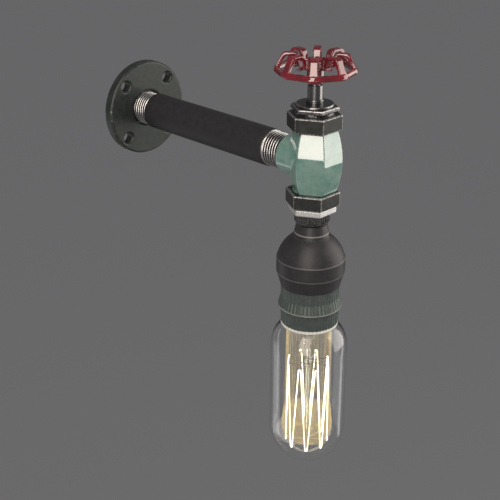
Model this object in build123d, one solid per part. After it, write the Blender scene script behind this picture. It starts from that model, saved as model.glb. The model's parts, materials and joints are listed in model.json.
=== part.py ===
from build123d import *
from math import atan2, cos, degrees, radians, sin, sqrt, tan
import os

os.makedirs("parts", exist_ok=True)

# Industrial pipe wall light.
# The origin is the centre of the wall flange's back face. The wall is the plane y = 0, the light stands
# out along -Y, X runs to the right along the wall and Z is up. All sizes are in millimetres.

# ---- fits shared by several parts
slip = 0.05                    # gap per side between parts screwed or pressed together
turning_gap = 0.06             # gap per side between a turning shaft and its bore
quarter_turn = 90.0
hex_sides = 6
shortest = 0.01                # shorter runs and smaller angles are left out of a wire's path

# ---- half-inch pipe nipple, from the wall outwards
pipe_r = 10.65
pipe_wall = 2.75
pipe_edge = 0.5
thread_step = 0.65             # the bare threaded ends are this much smaller in radius than the skin
nipple_back = 0.8              # the back end stays just inside the flange's back face
wall_thread_l = 13.8           # bare thread from the back end to the black skin
black_l = 99.9
valve_bare_l = 11.3            # bare thread that shows between the skin and the valve
thread_engagement = 10.1       # thread inside the valve's side port
pipe_bore_r = pipe_r - pipe_wall
thread_r = pipe_r - thread_step
black_start = nipple_back + wall_thread_l
black_end = black_start + black_l
port_face_reach = black_end + valve_bare_l

# ---- wall flange
flange_r = 29.0
flange_t = 6.0
flange_edge = 1.0              # bevel around the front edge
flange_bore_gap = 0.45
flange_bore_bevel = 1.3
screw_hole_count = 4
screw_edge_l = 6.0             # flange edge to the screw circle
screw_hole_r = 3.2
screw_hole_bevel = 1.0
flange_bore_r = thread_r + flange_bore_gap
screw_circle_r = flange_r - screw_edge_l

# ---- valve body; its upright axis is valve_reach from the wall
port_l = 18.8                  # face of the side port to the upright axis
port_wall = 1.15
port_lip = 1.1                 # bevel at the mouth of the side port
port_thread_spare = 0.4
body_top = 18.2
body_bottom = -16.6
belly_z = 1.5                  # height of the fattest place
belly_corner_r = 15.1
neck_corner_top_r = 12.1
neck_corner_bottom_r = 12.2
belly_lead = 1.2               # the belly stands this much further from the wall than the axis
chamber_r = 8.4
spigot_wall = 2.2              # round ends that the two nuts screw on
spigot_l = 6.6
valve_reach = port_face_reach + port_l
port_r = thread_r + slip + port_wall
spigot_r = chamber_r + spigot_wall

# ---- union nut and bonnet
nut_corner_r = 15.24
nut_edge = 0.55
bonnet_nut_h = 8.74
bonnet_neck_r = 11.4
bonnet_neck_h = 1.51
bonnet_hex_corner_r = 13.27
bonnet_hex_h = 2.75
bonnet_disc_r = 10.3
bonnet_disc_h = 1.2
bonnet_foot_r = 9.6            # round foot clamped on the body by the union nut
bonnet_foot_rise = 0.2
packing_w = 1.3
packing_pocket_depth = 7.0
bonnet_nut_top = body_top + bonnet_nut_h
bonnet_hex_bottom = bonnet_nut_top + bonnet_neck_h
bonnet_hex_top = bonnet_hex_bottom + bonnet_hex_h
bonnet_disc_top = bonnet_hex_top + bonnet_disc_h
bonnet_foot_bottom = body_top + bonnet_foot_rise

# ---- packing gland and stem
stem_r = 2.9
stem_tail_r = 2.0
gland_wall = 1.14
gland_collar_w = 0.65
gland_collar_h = 2.3
gland_h = 7.5
gland_nose_depth = 2.6         # gland pressed into the packing pocket
packing_pocket_r = stem_r + packing_w
gland_r = stem_r + turning_gap + gland_wall
gland_collar_r = gland_r + gland_collar_w
gland_collar_top = bonnet_disc_top + gland_collar_h
gland_top = gland_collar_top + gland_h

# ---- handwheel
spoke_count = 8
wheel_corner_r = 22.6
wheel_corner_round = 7.0
hub_gap = 0.9                  # packing gland to the wheel's hub
hub_r = 4.7
hub_l = 8.2
hub_disc_r = 8.9
hub_disc_t = 1.9
rim_rise = 5.4                 # underside of the rim above the hub's end
rim_h = 3.3
rim_w = 2.9
rim_edge = 0.9
spoke_rise = 6.1               # top of the arches above the hub disc
spoke_w = 4.2
spoke_foot_w = 6.6
spoke_foot_l = 3.0
spoke_t = 1.9
spoke_outer_lean = 4.7         # the outer flank leans inwards by this much
spoke_crown_l = 8.15           # flat crown between the flanks, before its ends are rounded
spoke_inner_lean = 1.6
spoke_bend_r = 3.4
spoke_edge = 0.45
wheel_rest_turn = -6.5         # where the spokes stand at rest
stem_shoulder_depth = 1.5      # thick part of the stem inside the hub
stem_tip_rise = 2.2
wheel_nut_corner_r = 3.7
wheel_nut_h = 2.4
hub_bottom = gland_top + hub_gap
hub_disc_bottom = hub_bottom + hub_l
wheel_seat = hub_disc_bottom + hub_disc_t
rim_bottom = hub_bottom + rim_rise
spoke_top = wheel_seat + spoke_rise
stem_shoulder = hub_bottom + stem_shoulder_depth
stem_tip = wheel_seat + stem_tip_rise

# ---- rotary switch inside the valve
switch_r = 6.0
switch_h = 15.4
switch_wall = 1.1
switch_floor_t = 1.8
rotor_gap = 1.0
rotor_w = 5.2                  # the rotor is a bar with round ends that bridges the contacts
rotor_h = 5.0
rotor_rise = 2.0               # rotor above the switch floor
contact_w = 2.2
contact_t = 0.5
contact_rise = 8.6             # height of each contact inside the switch
contact_drop = 2.2             # tail below the switch for the wire
switch_bottom = bonnet_foot_bottom - switch_h
switch_bore_r = switch_r - switch_wall
rotor_r = switch_bore_r - rotor_gap

# ---- outlet side of the valve
outlet_nut_h = 8.4
bushing_corner_r = 13.5
bushing_hex_h = 4.1
bushing_gap = 0.1
bushing_spigot_h = 8.0
collar_r = 10.05
collar_straight_h = 4.9
collar_cone_h = 2.1
collar_cone_w = 1.15
collar_flutes = 40
collar_flute_w = 1.1
collar_flute_depth = 0.5
tube_r = 4.9
tube_wall = 1.4
tube_top_drop = 1.0            # lamp tube below the top of the bushing
tube_nut_corner_r = 8.0
tube_nut_t = 3.0
tube_end_l = 0.1               # tube beyond its nut
outlet_nut_bottom = body_bottom - outlet_nut_h
bushing_bottom = outlet_nut_bottom - bushing_hex_h
bushing_spigot_r = chamber_r - bushing_gap
bushing_spigot_top = outlet_nut_bottom + bushing_spigot_h
collar_straight_bottom = bushing_bottom - collar_straight_h
collar_bottom = collar_straight_bottom - collar_cone_h
tube_bore_r = tube_r - tube_wall
tube_top = bushing_spigot_top - tube_top_drop

# ---- radii of the socket, from the lamp's screw cap outwards
bulb_cap_r = 13.1
lamp_gap = 0.45                # screw cap of the bulb to the screw shell
screw_shell_t = 0.4
core_skirt_t = 0.7
core_gap = 0.3
shell_wall = 0.55
cap_inner_step = 1.7
cap_wall = 2.1
dome_ease = 0.2                # the dome's inside ball is this much larger than the straight inside
screw_shell_r = bulb_cap_r + lamp_gap + screw_shell_t
core_bore_r = screw_shell_r + slip
core_r = core_bore_r + core_skirt_t
shell_bore_r = core_r + core_gap
shell_r = shell_bore_r + shell_wall
cap_thread_r = shell_r + slip
cap_inner_r = cap_thread_r + cap_inner_step
dome_r = cap_inner_r + cap_wall + dome_ease

# ---- socket cap, from the lock collar down
cap_neck_top_r = 8.6
cap_neck_bottom_r = 10.2
cap_step_r = 10.6
cap_step_t = 0.7
cap_roof_t = 9.8               # cap's top to the flat ceiling inside
dome_drop = 24.3               # cap's top to the centre of the dome's ball
dome_end_rise = 4.5
band_step = 0.1
band_bevel_h = 0.6
band_h = 8.3
skirt_step = 1.3
skirt_upper_h = 4.2
skirt_lower_h = 4.4
skirt_wall = 1.4
cap_inner_top = collar_bottom - cap_roof_t
tube_bottom = cap_inner_top - tube_nut_t - tube_end_l
dome_centre_z = collar_bottom - dome_drop
dome_end_z = dome_centre_z + dome_end_rise
band_r = dome_r - band_step
band_top = dome_end_z - band_bevel_h
band_bottom = band_top - band_h
skirt_mid_r = band_r - skirt_step
skirt_mid_z = band_bottom - skirt_upper_h
skirt_r = cap_thread_r + skirt_wall
cap_bottom = skirt_mid_z - skirt_lower_h

# ---- fluted ring and socket shell
ring_wall = 1.2
ring_straight_h = 7.1
ring_flare_w = 1.35
ring_flare_h = 5.1
ring_lip_h = 1.0
ring_flutes = 48
ring_flute_w = 1.2
ring_flute_depth = 0.3
shell_rise = 6.9               # top of the shell above the cap's lower edge
shell_skirt_w = 1.35
shell_skirt_h = 11.6
shell_taper = 0.45
shell_lip = 0.5
ring_top_r = cap_thread_r + ring_wall
ring_flare_z = cap_bottom - ring_straight_h
ring_lip_r = ring_top_r + ring_flare_w
ring_lip_z = ring_flare_z - ring_flare_h
ring_bottom = ring_lip_z - ring_lip_h
shell_top = cap_bottom + shell_rise
shell_skirt_top_r = shell_r + shell_skirt_w
shell_bottom = ring_bottom - shell_skirt_h
shell_bottom_r = shell_skirt_top_r - shell_taper

# ---- socket inside
core_head_h = 6.0
core_floor_t = 3.5             # underside of the porcelain floor below the shell's top
core_skirt_rise = 6.2          # porcelain skirt's end above the socket's rim
screw_shell_rise = 3.7
rivet_r = 1.0
rivet_edge_l = 2.35
screw_shell_flange_w = 2.1
live_rivet_x = -4.6
tongue_w = 5.0
tongue_t = 0.5
tongue_tail = 2.6              # tongue beyond its rivet
tongue_drop = 2.0
terminal_reach = 8.6           # terminal screws from the axis
terminal_screw_r = 2.2
terminal_screw_h = 1.8
terminal_shank_r = 1.2
terminal_shank_l = 3.4
terminal_plate_t = 0.6
terminal_plate_w = 5.4
terminal_plate_inner = 3.0
terminal_plate_outer = 13.2
core_top = shell_top + core_head_h
core_floor_z = shell_top - core_floor_t
core_skirt_bottom = shell_bottom + core_skirt_rise
screw_shell_bottom = shell_bottom + screw_shell_rise
neutral_rivet_x = screw_shell_r - rivet_edge_l
screw_shell_flange_r = neutral_rivet_x - screw_shell_flange_w
tongue_low = core_floor_z - tongue_drop
plate_top = core_top + terminal_plate_t

# ---- wires
wire_r = 0.9
wire_bend_r = 4.0
lane_centre_r = 1.35           # distance of the lamp wires from the axis inside the tube
live_drop = 4.0                # live wire below the pipe axis
neutral_drop = 4.4
tube_wires = 3
earth_drop = 6.2
earth_side = 2.3
lane_start_rise = 0.6
wire_spread_h = 6.5
wire_end_h = 3.4
earth_screw_rise = 8.4         # earth screw above the centre of the dome
earth_head_l = 3.55            # inner face of its head from the cap's inside
earth_shank_depth = 1.25       # blind end of its shank inside the cap's wall
earth_bend_r = 3.0
lane_start_z = body_bottom + lane_start_rise
wire_end_bend_z = plate_top + wire_end_h
lane_end_z = wire_end_bend_z + wire_spread_h
earth_screw_z = dome_centre_z + earth_screw_rise

# ---- lamp bulb, tube shape with screw cap
bulb_r = 22.4
bulb_wall = 0.9
bulb_cap_wall = 0.3
bulb_neck_gap = 0.4
shoulder_w = 0.8
shoulder_drop = 0.5            # the shoulder starts just below the socket's rim
shoulder_h = 15.2
bulb_straight_h = 54.1         # below this the end is a half ball
tip_gap = 1.0                  # contact tongue to the bulb's tip
tip_r = 4.6
tip_h = 1.2
cap_cone_r = 9.6
cap_cone_h = 2.8
bulb_cap_rise = 2.2            # lower edge of the bulb's cap above the socket's rim
bulb_neck_drop = 11.0
tip_top = tongue_low - tip_gap
cap_cone_top = tip_top - tip_h
bulb_cap_top = cap_cone_top - cap_cone_h
bulb_cap_bottom = shell_bottom + bulb_cap_rise
bulb_neck_r = bulb_cap_r - bulb_cap_wall - bulb_neck_gap
bulb_neck_top = bulb_cap_top - bulb_neck_drop
shoulder_start_r = bulb_neck_r + shoulder_w
shoulder_start_z = shell_bottom - shoulder_drop
shoulder_end_z = shoulder_start_z - shoulder_h
bulb_round_z = shoulder_end_z - bulb_straight_h

# ---- glass mount, supports and filament inside the bulb
flare_h = 4.4
flare_t = 0.9
mount_tube_r = 3.6
press_drop = 4.8               # glass press below the socket's rim
press_h = 9.5
press_w = 7.4
press_t = 2.6
rod_r = 1.35
rod_button_r = 2.1
cage_r = 12.5
upper_hook_drop = 10.0
lower_hook_drop = 11.0         # lower hooks below the start of the half ball
support_r = 0.28
filament_r = 0.34
filament_sides = 6
filament_bend_r = 0.7
lead_r = 0.3
lead_offset = 1.9
lead_top_drop = 7.0
lead_bend_drop = 2.5
lead_bend_r = 1.6
hook_tip = 0.9                 # support wire beyond the filament
cage_count = 8                 # upper hooks; one lower hook fewer
cage_gap_turn = 86.5           # middle of the open side between the two lead ends
press_top = shell_bottom - press_drop
press_bottom = press_top - press_h
lead_top = bulb_cap_top - lead_top_drop
lead_bend_z = press_bottom - lead_bend_drop
upper_hook_z = lead_bend_z - upper_hook_drop
lower_hook_z = bulb_round_z - lower_hook_drop


def ring(outer_r, inner_r, bottom, top):
    """Upright round tube or washer between two heights."""
    face = Circle(outer_r) - Circle(inner_r)
    return Pos(0, 0, bottom) * extrude(face, top - bottom)


def rod(radius, bottom, top):
    return Pos(0, 0, bottom) * extrude(Circle(radius), top - bottom)


def turned(*points):
    """Solid of revolution about the upright axis from a closed outline of radius and height pairs."""
    outline = make_face(Polyline(*points, close=True))
    return revolve(Plane.XZ * outline, Axis.Z)


def hex_bar(corner_r, bottom, top, edge=0.0):
    bar = Pos(0, 0, bottom) * extrude(RegularPolygon(corner_r, hex_sides), top - bottom)
    if edge > 0:
        ends = bar.edges().filter_by(Plane.XY)
        bar = chamfer(ends, edge)
    return bar


def groove_bar(width, depth, bottom, top):
    """Upright V-shaped bar that cuts a groove in a wall at X = 0 whose outside faces +X."""
    face = make_face(Polyline((-depth, 0), (depth, -width), (depth, width), close=True))
    return Pos(0, 0, bottom) * extrude(face, top - bottom)


def bevelled_hole(radius, bevel, depth):
    """Round cutter from 0 up to the depth, with a cone that bevels the hole's upper mouth."""
    mouth = Pos(0, 0, depth - bevel / 2) * Cone(radius, radius + bevel, bevel)
    return rod(radius, 0, depth) + mouth


def at_valve(shape):
    return Pos(0, -valve_reach, 0) * shape


def arc_route(points, bend_r):
    """Path of straight runs joined by tangent arcs."""
    points = [Vector(*p) for p in points]
    pieces = []
    start = points[0]
    for before, corner, after in zip(points, points[1:], points[2:]):
        into = (corner - before).normalized()
        out = (after - corner).normalized()
        half_turn = radians(into.get_angle(out)) / 2
        if half_turn < shortest:
            continue
        run = bend_r * tan(half_turn)
        arc_start = corner - into * run
        arc_end = corner + out * run
        inward = (out - into).normalized()
        middle = corner + inward * (bend_r / cos(half_turn) - bend_r)
        if (arc_start - start).length > shortest:
            pieces.append(Line(start, arc_start))
        pieces.append(ThreePointArc(arc_start, middle, arc_end))
        start = arc_end
    pieces.append(Line(start, points[-1]))
    return Wire(pieces)


def round_wire(points, wire_radius, bend_r):
    path = arc_route(points, bend_r)
    section = Plane(origin=path @ 0, z_dir=path % 0) * Circle(wire_radius)
    return sweep(section, path=path, transition=Transition.ROUND)


def polar_point(radius, turn, z):
    return (radius * cos(radians(turn)), radius * sin(radians(turn)), z)


def save(node, shape):
    export_step(shape, f"parts/{node}.step")


# ================================================================ wall flange
wall_side = Plane.XZ                                   # normal is -Y, out from the wall
flange = wall_side * extrude(Circle(flange_r), flange_t)
flange = chamfer(flange.edges().sort_by(Axis.Y)[0], flange_edge)
flange -= wall_side * bevelled_hole(flange_bore_r, flange_bore_bevel, flange_t)
for place in PolarLocations(screw_circle_r, screw_hole_count, quarter_turn / 2):
    flange -= wall_side * place * bevelled_hole(screw_hole_r, screw_hole_bevel, flange_t)
save("wall_flange", flange)

# ================================================================ pipe nipple
nipple_l = port_face_reach + thread_engagement - nipple_back
nipple = wall_side * Pos(0, 0, nipple_back) * extrude(Circle(thread_r), nipple_l)
skin = wall_side * Pos(0, 0, black_start) * extrude(Circle(pipe_r), black_l)
skin = chamfer(skin.edges().filter_by(GeomType.CIRCLE), pipe_edge)
pipe_bore = wall_side * Pos(0, 0, nipple_back) * extrude(Circle(pipe_bore_r), nipple_l)
save("pipe_nipple", nipple + skin - pipe_bore)

# ================================================================ valve body
face_step = 360 / hex_sides
flat_ratio = cos(radians(face_step / 2))


def belly_slab(turn):
    """Region between two opposite curved faces of the six-sided belly."""
    top_flat = neck_corner_top_r * flat_ratio
    mid_flat = belly_corner_r * flat_ratio
    low_flat = neck_corner_bottom_r * flat_ratio
    near = ThreePointArc((top_flat, body_top), (mid_flat, belly_z), (low_flat, body_bottom))
    far = ThreePointArc((-top_flat, body_top), (-mid_flat, belly_z), (-low_flat, body_bottom))
    top_end = Line((-top_flat, body_top), (top_flat, body_top))
    low_end = Line((-low_flat, body_bottom), (low_flat, body_bottom))
    face = make_face([near, far, top_end, low_end])
    return Rot(0, 0, turn) * extrude(Plane.XZ * face, 2 * belly_corner_r, both=True)


belly = belly_slab(face_step / 2)
for number in (1, 2):
    belly = belly & belly_slab(face_step / 2 + number * face_step)
belly = Pos(0, -belly_lead, 0) * belly
port = wall_side * Pos(0, 0, -port_l) * extrude(Circle(port_r), port_l)
port = chamfer(port.edges().filter_by(GeomType.CIRCLE).sort_by(Axis.Y)[-1], port_lip)
body = belly + port
body += rod(spigot_r, body_bottom - spigot_l, body_bottom) + rod(spigot_r, body_top, body_top + spigot_l)
body -= rod(chamber_r, body_bottom - spigot_l, body_top + spigot_l)
port_thread_l = thread_engagement + port_thread_spare
port_thread = wall_side * Pos(0, 0, -port_l) * extrude(Circle(thread_r + slip), port_thread_l)
port_way = wall_side * Pos(0, 0, -port_l) * extrude(Circle(pipe_bore_r), port_l)
body -= port_thread + port_way
save("valve_body", at_valve(body))

# ================================================================ bonnet nut, bonnet, gland and packing
bonnet_nut = hex_bar(nut_corner_r, body_top, bonnet_nut_top, nut_edge)
bonnet_nut -= rod(spigot_r + slip, body_top, body_top + spigot_l + slip)
bonnet_nut -= rod(bonnet_foot_r + slip, body_top, bonnet_nut_top)
save("bonnet_nut", at_valve(bonnet_nut))

bonnet = rod(chamber_r - slip, bonnet_foot_bottom, body_top + spigot_l + slip)
bonnet += rod(bonnet_foot_r, body_top + spigot_l + slip, bonnet_nut_top)
bonnet += rod(bonnet_neck_r, bonnet_nut_top, bonnet_hex_bottom)
bonnet += hex_bar(bonnet_hex_corner_r, bonnet_hex_bottom, bonnet_hex_top, nut_edge)
disc = rod(bonnet_disc_r, bonnet_hex_top, bonnet_disc_top)
bonnet += fillet(disc.edges().sort_by(Axis.Z)[-1], nut_edge)
bonnet -= rod(stem_r + turning_gap, bonnet_foot_bottom, bonnet_disc_top)
pocket_floor = bonnet_disc_top - packing_pocket_depth
bonnet -= rod(packing_pocket_r, pocket_floor, bonnet_disc_top)
save("bonnet", at_valve(bonnet))

gland_nose_bottom = bonnet_disc_top - gland_nose_depth
packing = ring(packing_pocket_r - slip, stem_r + turning_gap, pocket_floor, gland_nose_bottom)
save("stem_packing", at_valve(packing))

gland = rod(packing_pocket_r - slip, gland_nose_bottom, bonnet_disc_top)
gland_collar = rod(gland_collar_r, bonnet_disc_top, gland_collar_top)
gland += fillet(gland_collar.edges().sort_by(Axis.Z)[-1], nut_edge)
gland_stalk = rod(gland_r, gland_collar_top, gland_top)
gland += chamfer(gland_stalk.edges().sort_by(Axis.Z)[-1], nut_edge / 2)
gland -= rod(stem_r + turning_gap, gland_nose_bottom, gland_top)
save("packing_gland", at_valve(gland))

# ================================================================ stem, handwheel and its nut
rotor_bottom = switch_bottom + switch_floor_t + rotor_rise
rotor_top = rotor_bottom + rotor_h
stem = rod(stem_r, rotor_top, stem_shoulder) + rod(stem_tail_r, rotor_bottom, rotor_top)
stem += chamfer(rod(stem_tail_r, stem_shoulder, stem_tip).edges().sort_by(Axis.Z)[-1], nut_edge / 2)
save("valve_stem", at_valve(stem))

rotor_block = Pos(0, 0, (rotor_bottom + rotor_top) / 2) * Box(2 * switch_r, rotor_w, rotor_h)
rotor = ring(rotor_r, stem_tail_r + slip, rotor_bottom, rotor_top) & rotor_block
save("switch_rotor", at_valve(Rot(0, 0, quarter_turn) * rotor))

outer_rim = fillet(RegularPolygon(wheel_corner_r, spoke_count).vertices(), wheel_corner_round)
inner_rim = offset(outer_rim, -rim_w)
rim = Pos(0, 0, rim_bottom) * extrude(outer_rim - inner_rim, rim_h)
rim = fillet(rim.edges().filter_by(Plane.XY), rim_edge)

arch_foot_r = wheel_corner_r - rim_edge / 2
spoke_outer_r = arch_foot_r - spoke_outer_lean
spoke_inner_r = spoke_outer_r - spoke_crown_l
arch_outer = Polyline(
    (arch_foot_r, rim_bottom + rim_edge),
    (spoke_outer_r, spoke_top),
    (spoke_inner_r, spoke_top),
    (spoke_inner_r - spoke_inner_lean, hub_disc_bottom + hub_disc_t / 2),
    close=True,
)
arch_inner = Polyline(
    (arch_foot_r - spoke_t, rim_bottom + rim_edge),
    (spoke_outer_r - spoke_t, spoke_top - spoke_t),
    (spoke_inner_r + spoke_t, spoke_top - spoke_t),
    (spoke_inner_r - spoke_inner_lean + spoke_t, hub_disc_bottom + hub_disc_t / 2),
    close=True,
)


def rounded_top(outline, bend_r):
    face = make_face(outline)
    return fillet(face.vertices().sort_by(Axis.Y)[-2:], bend_r)


arch_face = rounded_top(arch_outer, spoke_bend_r) - rounded_top(arch_inner, spoke_bend_r - spoke_t)
arch = extrude(Plane.XZ * arch_face, spoke_foot_w / 2, both=True)
foot_start = arch_foot_r - spoke_foot_l
reach = wheel_corner_r + spoke_foot_l
plan = make_face(
    Polyline(
        (0, -spoke_w / 2),
        (foot_start, -spoke_w / 2),
        (reach, -spoke_foot_w / 2),
        (reach, spoke_foot_w / 2),
        (foot_start, spoke_w / 2),
        (0, spoke_w / 2),
        close=True,
    )
)
arch = arch & Pos(0, 0, rim_bottom) * extrude(plan, spoke_top)
hub = rod(hub_r, hub_bottom, hub_disc_bottom) + rod(hub_disc_r, hub_disc_bottom, wheel_seat)
hub = fillet(hub.edges().group_by(Axis.Z)[-1], spoke_edge)
wheel = rim + hub
for spoke in range(spoke_count):
    wheel += Rot(0, 0, spoke * 360 / spoke_count) * arch
wheel -= rod(stem_tail_r + slip, hub_bottom, wheel_seat)
wheel -= rod(stem_r + slip, hub_bottom, stem_shoulder + slip)
wheel = Rot(0, 0, wheel_rest_turn) * wheel
save("handwheel", at_valve(wheel))

wheel_nut = hex_bar(wheel_nut_corner_r, wheel_seat, wheel_seat + wheel_nut_h, spoke_edge / 2)
wheel_nut -= rod(stem_tail_r + slip, wheel_seat, wheel_seat + wheel_nut_h)
save("wheel_nut", at_valve(Rot(0, 0, wheel_rest_turn) * wheel_nut))

# ================================================================ rotary switch
switch_floor = switch_bottom + switch_floor_t
switch_lid = bonnet_foot_bottom - switch_wall
switch = rod(switch_r, switch_bottom, bonnet_foot_bottom) - rod(switch_bore_r, switch_floor, switch_lid)
switch -= rod(stem_r + turning_gap, switch_floor, bonnet_foot_bottom)
contact_x = sqrt(switch_bore_r**2 - (contact_w / 2) ** 2) - slip - contact_t / 2
contacts = []
for side in (-1, 1):
    top = switch_floor + contact_rise
    bottom = switch_bottom - contact_drop
    contact = Box(contact_t, contact_w, top - bottom)
    contacts.append(Pos(side * contact_x, 0, (top + bottom) / 2) * contact)
    slot = Box(contact_t + 2 * slip, contact_w + 2 * slip, switch_floor_t)
    switch -= Pos(side * contact_x, 0, switch_bottom + switch_floor_t / 2) * slot
save("switch_body", at_valve(switch))
save("switch_contacts", at_valve(Compound(contacts)))

# ================================================================ outlet nut, bushing, lock collar, lamp tube
spigot_end = body_bottom - spigot_l
outlet_nut = hex_bar(nut_corner_r, outlet_nut_bottom, body_bottom, nut_edge)
outlet_nut -= rod(spigot_r + slip, spigot_end - slip, body_bottom)
outlet_nut -= rod(bushing_spigot_r + slip, outlet_nut_bottom, body_bottom)
save("outlet_nut", at_valve(outlet_nut))

bushing = hex_bar(bushing_corner_r, bushing_bottom, outlet_nut_bottom, nut_edge)
bushing += rod(bushing_spigot_r, outlet_nut_bottom, bushing_spigot_top)
bushing -= rod(tube_r + slip, bushing_bottom, bushing_spigot_top)
save("outlet_bushing", at_valve(bushing))

collar = turned(
    (tube_r + slip, bushing_bottom),
    (collar_r, bushing_bottom),
    (collar_r, collar_straight_bottom),
    (collar_r - collar_cone_w, collar_bottom),
    (tube_r + slip, collar_bottom),
)
flute = groove_bar(collar_flute_w, collar_flute_depth, collar_bottom, bushing_bottom)
collar -= [place * flute for place in PolarLocations(collar_r, collar_flutes)]
save("lock_collar", at_valve(collar))

save("lamp_tube", at_valve(ring(tube_r, tube_bore_r, tube_bottom, tube_top)))

tube_nut = hex_bar(tube_nut_corner_r, cap_inner_top - tube_nut_t, cap_inner_top, nut_edge)
tube_nut -= rod(tube_r + slip, cap_inner_top - tube_nut_t, cap_inner_top)
save("tube_nut", at_valve(tube_nut))

# ================================================================ socket cap


def ball_point(ball_r, z):
    """Point on the dome's ball at a height, as radius and height."""
    return (sqrt(ball_r**2 - (z - dome_centre_z) ** 2), z)


dome_start_z = dome_centre_z + sqrt(dome_r**2 - cap_step_r**2)
inner_ball_r = dome_r - cap_wall
inner_end_z = dome_centre_z + sqrt(inner_ball_r**2 - cap_inner_r**2)
outer_mid = ball_point(dome_r, (dome_start_z + dome_end_z) / 2)
inner_mid = ball_point(inner_ball_r, (cap_inner_top + inner_end_z) / 2)
cap_outline = [
    Polyline(
        ball_point(inner_ball_r, cap_inner_top),
        (tube_r + slip, cap_inner_top),
        (tube_r + slip, collar_bottom),
        (cap_neck_top_r, collar_bottom),
        (cap_neck_bottom_r, dome_start_z + cap_step_t),
        (cap_step_r, dome_start_z + cap_step_t),
        (cap_step_r, dome_start_z),
    ),
    ThreePointArc((cap_step_r, dome_start_z), outer_mid, ball_point(dome_r, dome_end_z)),
    Polyline(
        ball_point(dome_r, dome_end_z),
        (band_r, band_top),
        (band_r, band_bottom),
        (skirt_mid_r, skirt_mid_z),
        (skirt_r, cap_bottom),
        (cap_thread_r, cap_bottom),
        (cap_thread_r, shell_top),
        (cap_inner_r, band_bottom),
        (cap_inner_r, inner_end_z),
    ),
    ThreePointArc((cap_inner_r, inner_end_z), inner_mid, ball_point(inner_ball_r, cap_inner_top)),
]
cap = revolve(Plane.XZ * make_face(cap_outline), Axis.Z)
earth_axis = Plane(origin=(0, 0, earth_screw_z), z_dir=(0, -1, 0))
earth_wall_r = ball_point(inner_ball_r, earth_screw_z)[0]
earth_head_reach = earth_wall_r - earth_head_l
earth_shank_reach = earth_wall_r + earth_shank_depth
cap -= earth_axis * extrude(Circle(terminal_shank_r + slip), earth_shank_reach + slip)
save("socket_cap", at_valve(cap))

earth_screw = Pos(0, 0, earth_head_reach) * extrude(Circle(terminal_screw_r), terminal_screw_h)
earth_shank_l = earth_shank_reach - earth_head_reach
earth_screw += Pos(0, 0, earth_head_reach) * extrude(Circle(terminal_shank_r), earth_shank_l)
save("earth_screw", at_valve(earth_axis * earth_screw))

# ================================================================ fluted ring and socket shell


def flutes(top_r, bottom_r, bottom, top):
    """Upright grooves all round a straight or conical wall."""
    lean = degrees(atan2(bottom_r - top_r, top - bottom))
    length = (top - bottom) / cos(radians(lean))
    groove = Pos(0, 0, top) * Rot(0, -lean, 0) * groove_bar(ring_flute_w, ring_flute_depth, -length, 0)
    return [place * groove for place in PolarLocations(top_r, ring_flutes)]


shade_ring = turned(
    (cap_thread_r, cap_bottom),
    (ring_top_r, cap_bottom),
    (ring_top_r, ring_flare_z),
    (ring_lip_r, ring_lip_z),
    (ring_lip_r, ring_bottom),
    (cap_thread_r, ring_bottom),
)
shade_ring -= flutes(ring_top_r, ring_top_r, ring_flare_z, cap_bottom)
shade_ring -= flutes(ring_top_r, ring_lip_r, ring_lip_z, ring_flare_z)
save("shade_ring", at_valve(shade_ring))

shell = turned(
    (shell_bore_r, shell_top),
    (shell_r, shell_top),
    (shell_r, ring_bottom),
    (shell_skirt_top_r, ring_bottom),
    (shell_bottom_r, shell_bottom + shell_lip),
    (shell_bottom_r, shell_bottom),
    (shell_bore_r, shell_bottom),
)
shell -= flutes(shell_skirt_top_r, shell_bottom_r, shell_bottom + shell_lip, ring_bottom)
save("socket_shell", at_valve(shell))

# ================================================================ socket inside
core = rod(shell_r, shell_top, core_top) + rod(core_r, core_floor_z, shell_top)
core += ring(core_r, core_bore_r, core_skirt_bottom, core_floor_z)
live_rivet = Pos(live_rivet_x, 0, 0)
neutral_rivet = Pos(neutral_rivet_x, 0, 0)
for place in (live_rivet, neutral_rivet):
    core -= place * rod(rivet_r + slip, core_floor_z, core_top)
screw_places = [Pos(-terminal_reach, 0, 0), Pos(terminal_reach, 0, 0)]
for place in screw_places:
    core -= place * rod(terminal_shank_r + slip, core_top - terminal_shank_l, core_top)
save("socket_core", at_valve(core))

screw_shell = ring(screw_shell_r, screw_shell_r - screw_shell_t, screw_shell_bottom, core_floor_z)
screw_shell += ring(screw_shell_r, screw_shell_flange_r, core_floor_z - screw_shell_t, core_floor_z)
save("screw_shell", at_valve(screw_shell))

tongue_face = make_face(
    Polyline(
        (live_rivet_x - tongue_tail, core_floor_z),
        (live_rivet_x + rivet_r, core_floor_z),
        (0, tongue_low + tongue_t),
        (tongue_tail, tongue_low + tongue_t + tongue_t),
        (tongue_tail, tongue_low + tongue_t),
        (0, tongue_low),
        (live_rivet_x + rivet_r, core_floor_z - tongue_t),
        (live_rivet_x - tongue_tail, core_floor_z - tongue_t),
        close=True,
    )
)
tongue = extrude(Plane.XZ * tongue_face, tongue_w / 2, both=True)
tongue += live_rivet * rod(rivet_r, core_floor_z - tongue_t, core_top)
save("centre_contact", at_valve(tongue))

plate_l = terminal_plate_outer - terminal_plate_inner
plate_middle = (terminal_plate_outer + terminal_plate_inner) / 2
plate = Pos(0, 0, core_top + terminal_plate_t / 2) * Box(plate_l, terminal_plate_w, terminal_plate_t)
plates = [Pos(-plate_middle, 0, 0) * plate, Pos(plate_middle, 0, 0) * plate]
for number, place in enumerate(screw_places):
    plates[number] -= place * rod(terminal_shank_r + slip, core_top, plate_top)
plates[1] += neutral_rivet * rod(rivet_r, core_floor_z, core_top)
save("terminal_plates", at_valve(Compound(plates)))

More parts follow.
